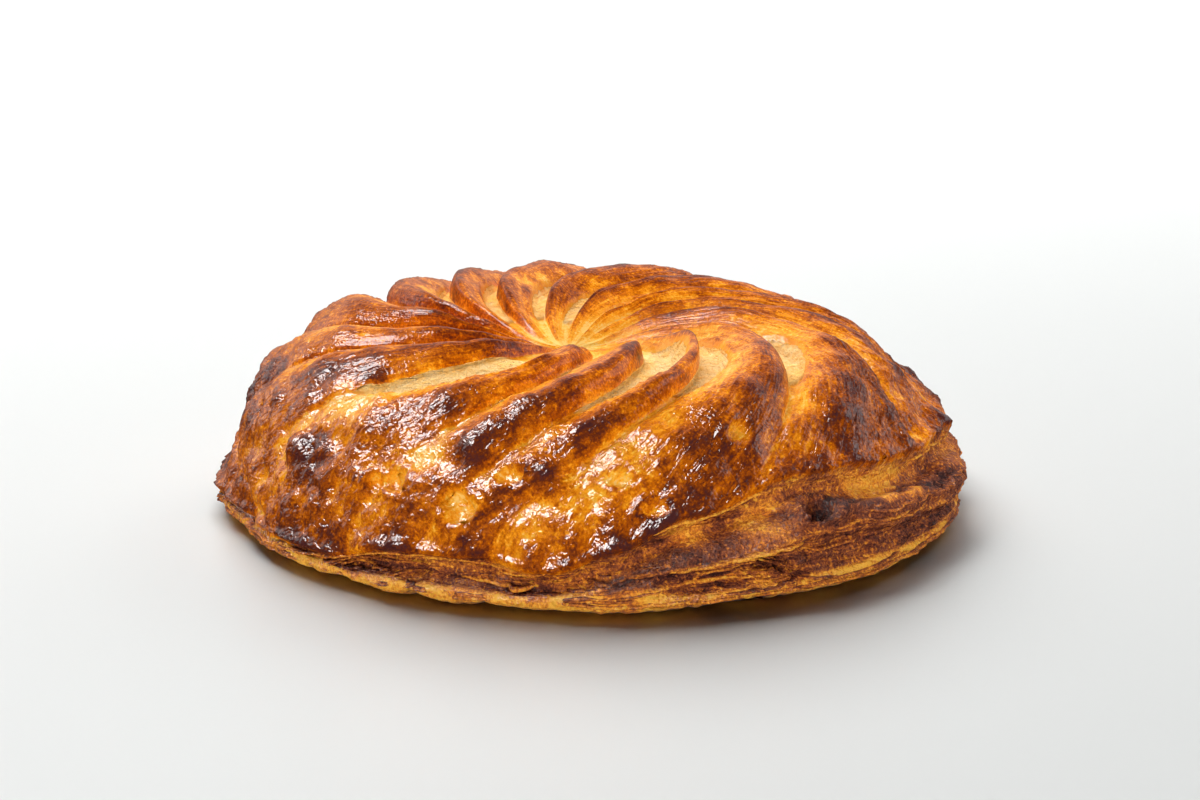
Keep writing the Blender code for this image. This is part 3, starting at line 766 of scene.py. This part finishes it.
def crustMaterial():
    material = bpy.data.materials.new("baked_crust_look")
    material.use_nodes = True
    tree = material.node_tree
    link = tree.links.new
    shader = tree.nodes["Principled BSDF"]
    place = newNode(tree, "ShaderNodeTexCoord").outputs["Object"]
    attributes = [newNode(tree, "ShaderNodeAttribute", attribute_name=name) for name in pointValues]
    tone, leafy, wrinkled = (node.outputs["Fac"] for node in attributes[:3])
    split, grain = (node.outputs["Vector"] for node in attributes[3:])

    def noiseTexture(name, source):
        texture = newNode(tree, "ShaderNodeTexNoise")
        link(source, texture.inputs["Vector"])
        for socket, value in zip(("Scale", "Detail", "Roughness", "Distortion"), crustLook["textures"][name]):
            texture.inputs[socket].default_value = value
        return texture.outputs["Fac"]

    def sums(operation, a, b):
        node = newNode(tree, "ShaderNodeMath", operation=operation)
        for socket, value in zip(node.inputs, (a, b)):
            if isinstance(value, (int, float)):
                socket.default_value = value
            else:
                link(value, socket)
        return node.outputs[0]

    def total(*values):
        result = values[0]
        for value in values[1:]:
            result = sums("ADD", result, value)
        return result

    def times(a, b):
        return sums("MULTIPLY", a, b)

    def swing(fac, amount):  # noise around nought, times an amount
        return times(sums("SUBTRACT", fac, 0.5), amount)

    def scaled(source, scale):
        mapping = newNode(tree, "ShaderNodeMapping")
        mapping.inputs["Scale"].default_value = scale
        link(source, mapping.inputs["Vector"])
        return mapping.outputs["Vector"]

    def colours(fac, stops):
        ramp = newNode(tree, "ShaderNodeValToRGB")
        elements = ramp.color_ramp.elements
        while len(elements) < len(stops):
            elements.new(0.5)
        for element, (position, colour) in zip(elements, stops):
            element.position = position
            element.color = (*colour, 1)
        link(fac, ramp.inputs["Fac"])
        return ramp.outputs["Color"]

    def between(value, low, high, start=0.0, end=1.0):
        node = newNode(tree, "ShaderNodeMapRange", interpolation_type="SMOOTHSTEP")
        link(value, node.inputs["Value"])
        for socket, number in zip(("From Min", "From Max", "To Min", "To Max"), (low, high, start, end)):
            node.inputs[socket].default_value = number
        return node.outputs["Result"]

    def blended(kind, factor, a, b):
        node = newNode(tree, "ShaderNodeMix", data_type=kind)
        for socket, value in zip(("Factor", "A", "B"), (factor, a, b)):
            link(value, node.inputs[socket])
        return node.outputs["Result"]

    strands = scaled(grain, crustLook["strandStretch"])
    streaks = noiseTexture("streaks", strands)
    speckle = noiseTexture("speckle", place)
    dots = between(noiseTexture("dots", place), *crustLook["dotEdge"])
    mottle = noiseTexture("mottle", place)
    marble = noiseTexture("marble", place)
    leaves = noiseTexture("leaves", scaled(place, crustLook["leafStretch"]))
    crumbs = noiseTexture("crumbs", place)

    # raw dough, the pale lip beside it, and the bare layers under the lid; the rest is glazed
    parts = newNode(tree, "ShaderNodeSeparateXYZ")
    link(split, parts.inputs["Vector"])
    isOpen, fromFloor, under = parts.outputs
    torn = total(fromFloor, swing(crumbs, crustLook["rawFray"]))
    rawTo = crustLook["rawTo"]
    raw = times(isOpen, between(torn, crustLook["rawFrom"], rawTo, 1, 0))
    raw = between(raw, *crustLook["rawEdge"])
    lip = times(isOpen, between(torn, rawTo, rawTo + crustLook["lipWidth"], crustLook["lipShare"], 0))
    bare = between(total(under, swing(mottle, crustLook["bareFray"])), *crustLook["bareEdge"])
    matte = sums("MAXIMUM", bare, raw)

    uneven = total(tone, swing(mottle, crustLook["mottle"]), swing(marble, crustLook["marble"]))
    spots = sums("SUBTRACT", swing(speckle, crustLook["speckle"]), times(dots, crustLook["dots"]))
    lipTone = total(swing(mottle, crustLook["lipMottle"]), crustLook["lipTone"])
    glazedTone = total(uneven, swing(streaks, crustLook["streaks"]), times(spots, crustLook["underGlaze"]))
    glazedTone = blended("FLOAT", lip, glazedTone, lipTone)
    bareTone = total(uneven, times(leafy, swing(leaves, crustLook["leaves"])), spots)
    rawTone = total(swing(crumbs, crustLook["rawCrumbs"]), swing(marble, crustLook["rawMarble"]),
                    times(tone, crustLook["rawShare"]))
    colour = colours(glazedTone, crustLook["glazedStops"])
    colour = blended("RGBA", bare, colour, colours(bareTone, crustLook["bareStops"]))
    colour = blended("RGBA", raw, colour, colours(rawTone, crustLook["rawStops"]))
    link(colour, shader.inputs["Base Color"])

    dull = sums("MAXIMUM", raw, times(bare, crustLook["dulled"]))
    gloss = times(sums("SUBTRACT", 1.0, dull), crustLook["coat"])
    link(times(gloss, wrinkled), shader.inputs["Coat Weight"])
    shader.inputs["Coat Roughness"].default_value = crustLook["coatRough"]
    shader.inputs["Specular IOR Level"].default_value = crustLook["shine"]
    rough = newNode(tree, "ShaderNodeMapRange")
    link(matte, rough.inputs["Value"])
    rough.inputs["To Min"].default_value = crustLook["glazed"]
    rough.inputs["To Max"].default_value = crustLook["matte"]
    link(total(rough.outputs["Result"], swing(mottle, crustLook["unevenRough"])), shader.inputs["Roughness"])

    wrinkles = total(noiseTexture("wrinkles", strands), noiseTexture("puckers", place))
    pits = times(noiseTexture("fine", place), crustLook["pitted"])
    relief = times(total(times(wrinkles, crustLook["folded"]), pits), wrinkled)
    rugged = times(total(crumbs, times(leaves, leafy)), times(matte, crustLook["rugged"]))
    bump = newNode(tree, "ShaderNodeBump")
    bump.inputs["Strength"].default_value = 1
    bump.inputs["Distance"].default_value = crustLook["bump"] * mm
    link(total(relief, rugged), bump.inputs["Height"])
    link(bump.outputs["Normal"], shader.inputs["Normal"])
    link(bump.outputs["Normal"], shader.inputs["Coat Normal"])
    print("crust material ready")
    return material


stage = {
    "halfSize": 12,  # metres
    "floorColour": (0.725, 0.74, 0.73), "floorRough": 0.4,
    "worldStrength": 0.2, "darkSide": 0.05, "darkFrom": 0.4, "brightFrom": 1,  # bright behind the cake
    "cakeOnly": ("overhead", "fill", "rightFill", "rightWall"),  # they leave the shadow on the table alone
    "lamps": {  # place and size in metres, watts, whether it lights, whether the glaze shows it
        "softbox": ((-0.65, 1.85, 2.05), 2.1, 2.1, 130, True, False),
        "overhead": ((-0.2, -0.1, 1.5), 1.4, 1.4, 4, True, False),
        "window": ((-0.6, -0.16, 1.05), 0.9, 0.6, 54, False, True),
        "wall": ((0, 2.5, 0.9), 3.5, 1.6, 9, False, True),
        "leftWall": ((-2.3, 1.3, 0.9), 2.0, 1.6, 18, False, True),
        "rightWall": ((2.4, 0.9, 0.9), 2.0, 1.6, 18, True, True),
        "fill": ((-0.45, -1.7, 0.36), 1.6, 0.5, 22, True, False),
        "rightFill": ((1.7, -0.9, 0.6), 1.0, 0.6, 13, True, False),
        "backdrop": ((1.3, 1.9, 1.5), 1.4, 1.0, 20, True, False),
    },
}


def floorAndLight(cake):
    plane = bmesh.new()
    bmesh.ops.create_grid(plane, x_segments=1, y_segments=1, size=stage["halfSize"])
    mesh = bpy.data.meshes.new("floor")
    plane.to_mesh(mesh)
    plane.free()
    floor = inScene("floor", mesh)
    material = bpy.data.materials.new("pale_table")
    material.use_nodes = True
    shader = material.node_tree.nodes["Principled BSDF"]
    shader.inputs["Base Color"].default_value = (*stage["floorColour"], 1)
    shader.inputs["Roughness"].default_value = stage["floorRough"]
    mesh.materials.append(material)
    floor.visible_glossy = False

    world = bpy.data.worlds.new("studio")
    world.use_nodes = True
    bpy.context.scene.world = world
    tree = world.node_tree
    background = tree.nodes["Background"]
    background.inputs["Strength"].default_value = stage["worldStrength"]
    direction = newNode(tree, "ShaderNodeTexCoord").outputs["Generated"]
    split = newNode(tree, "ShaderNodeSeparateXYZ")
    tree.links.new(direction, split.inputs["Vector"])
    spread = newNode(tree, "ShaderNodeMapRange")
    spread.inputs["From Min"].default_value = stage["darkFrom"]
    spread.inputs["From Max"].default_value = stage["brightFrom"]
    spread.inputs["To Min"].default_value = stage["darkSide"]
    spread.inputs["To Max"].default_value = 1
    tree.links.new(split.outputs["Y"], spread.inputs["Value"])
    tree.links.new(spread.outputs["Result"], background.inputs["Color"])

    for name, (at, width, height, power, lights, shines) in stage["lamps"].items():
        lamp = bpy.data.lights.new(name, "AREA")
        lamp.shape = "RECTANGLE"
        lamp.size = width
        lamp.size_y = height
        lamp.energy = power
        body = inScene(name, lamp)
        body.location = at
        body.rotation_euler = (-Vector(at)).to_track_quat("-Z", "Y").to_euler()
        body.visible_diffuse = lights
        body.visible_glossy = shines
        if name in stage["cakeOnly"]:
            body.light_linking.receiver_collection = cake
    print("floor and light ready")


view = {
    "lens": 70, "sensor": 36,  # mm
    "elevation": 14.6,  # degrees above the table
    "distance": 0.723,  # metres from the target
    "target": Vector((0.00306, 0.00095, 0.0303)),
}


def photoCamera():
    camera = inScene("camera", bpy.data.cameras.new("camera"))
    camera.data.lens = view["lens"]
    camera.data.sensor_width = view["sensor"]
    tilt = math.radians(view["elevation"])
    back = Vector((0, -math.cos(tilt), math.sin(tilt)))
    camera.location = view["target"] + back * view["distance"]
    camera.rotation_euler = (math.pi / 2 - tilt, 0, 0)
    bpy.context.scene.camera = camera
    bpy.context.scene.view_settings.view_transform = "Standard"
    print("camera ready")


photoCamera()
crust, sideSurface = galetteCrust()
leaves = sideLeaves(sideSurface)
baked = crustMaterial()
cake = bpy.data.collections.new("cake")
for piece in (crust, leaves):
    cake.objects.link(piece)
    piece.data.materials.append(baked)
    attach(piece, "root")
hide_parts("galette")
floorAndLight(cake)
